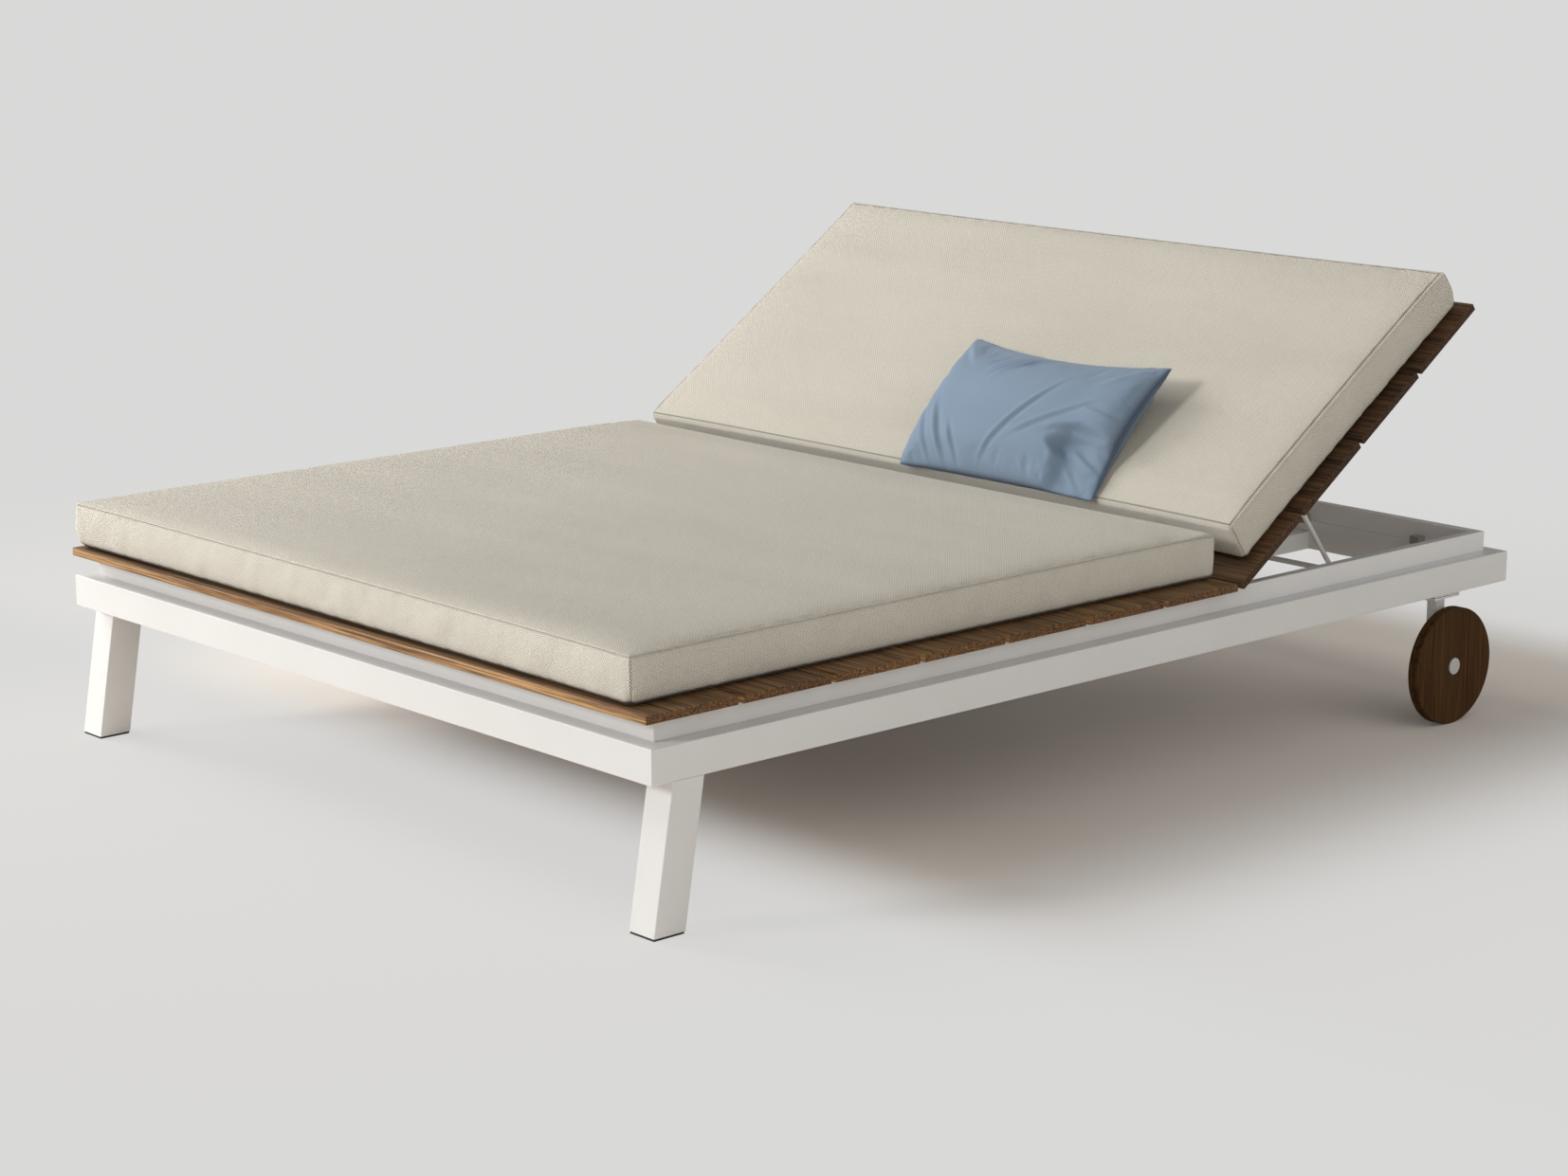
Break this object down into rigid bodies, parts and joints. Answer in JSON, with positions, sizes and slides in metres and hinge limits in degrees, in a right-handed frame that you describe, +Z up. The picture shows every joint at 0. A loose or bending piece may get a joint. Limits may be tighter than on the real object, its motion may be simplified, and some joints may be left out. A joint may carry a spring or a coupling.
{
  "type": "double chaise lounger",
  "caption": "Wide patio lounger: slatted deck on a stepped tube frame with raked legs and disc wheels, propped hinged backrest, boxed cushions and a small pillow.",
  "frame": {"origin": "on the floor, under the middle of the overall box", "axes": "+X to the right of someone lying on it seen from the foot end, +Y from the foot end to the head end, +Z up"},
  "size_m": [1.6462, 2.071, 0.8206],
  "materials": {
    "white_frame": "satin",
    "teak": "matte",
    "wheel_wood": "satin",
    "cushion_fabric": "matte",
    "pillow_fabric": "matte",
    "dark_rubber": "matte",
    "grey_rubber": "matte",
    "black_plastic": "matte",
    "cap_metal": "satin",
    "steel": "satin"
  },
  "bodies": {
    "frame": {"axle_left": "steel", "axle_right": "steel", "batten_left": "white_frame", "batten_right": "white_frame", "beam_left": "white_frame", "beam_right": "white_frame", "bracket_bolts": "steel", "bracket_pads": "dark_rubber", "cross_tube_hinge": "white_frame", "cross_tube_middle": "white_frame", "hinge_bolts": "steel", "hinge_ears": "white_frame", "leg_glides": "dark_rubber", "leg_left": "white_frame", "leg_right": "white_frame", "lower_rail_foot": "white_frame", "lower_rail_head": "white_frame", "lower_rail_left": "white_frame", "lower_rail_right": "white_frame", "rack_left": "white_frame", "rack_right": "white_frame", "rack_screws": "steel", "rest_blocks": "grey_rubber", "seat_cushion": "cushion_fabric", "seat_slat_1": "teak", "seat_slat_2": "teak", "seat_slat_3": "teak", "seat_slat_4": "teak", "seat_slat_5": "teak", "seat_slat_6": "teak", "seat_slat_7": "teak", "upper_rail_foot": "white_frame", "upper_rail_head": "white_frame", "upper_rail_left": "white_frame", "upper_rail_right": "white_frame", "wheel_bracket_left": "white_frame", "wheel_bracket_right": "white_frame"},
    "backrest": {"back_cushion": "cushion_fabric", "back_slat_1": "teak", "back_slat_2": "teak", "back_slat_3": "teak", "back_slat_4": "teak", "back_stringer_inner_left": "white_frame", "back_stringer_inner_right": "white_frame", "back_stringer_outer_left": "white_frame", "back_stringer_outer_right": "white_frame", "back_tube_bottom": "white_frame", "back_tube_top": "white_frame", "hinge_lugs": "white_frame", "prop_pivot_bolts": "steel", "pillow": "pillow_fabric"},
    "prop": {"prop_arm_left": "white_frame", "prop_arm_right": "white_frame", "prop_foot_bar": "white_frame"},
    "wheel_left": {"wheel_left": "wheel_wood", "bush_left": "black_plastic", "hub_cap_left": "cap_metal"},
    "wheel_right": {"wheel_right": "wheel_wood", "bush_right": "black_plastic", "hub_cap_right": "cap_metal"}
  },
  "joints": [
    {"name": "backrest_hinge", "type": "hinge", "parent": "frame", "child": "backrest", "pos_m": [0, 0.2955, 0.325], "axis": [1, 0, 0], "range_deg": [-34.4, 10.6]},
    {"name": "prop_hinge", "type": "hinge", "parent": "backrest", "child": "prop", "pos_m": [0, 0.54359, 0.48748], "axis": [1, 0, 0], "range_deg": [-25.6, 82.8]},
    {"name": "wheel_left_spin", "type": "hinge", "parent": "frame", "child": "wheel_left", "pos_m": [-0.8113, 0.8595, 0.108], "axis": [1, 0, 0], "continuous": true},
    {"name": "wheel_right_spin", "type": "hinge", "parent": "frame", "child": "wheel_right", "pos_m": [0.8113, 0.8595, 0.108], "axis": [1, 0, 0], "continuous": true}
  ],
  "couplings": [
    {"joint": "prop_hinge", "follows": "backrest_hinge", "ratio": -2.405}
  ]
}
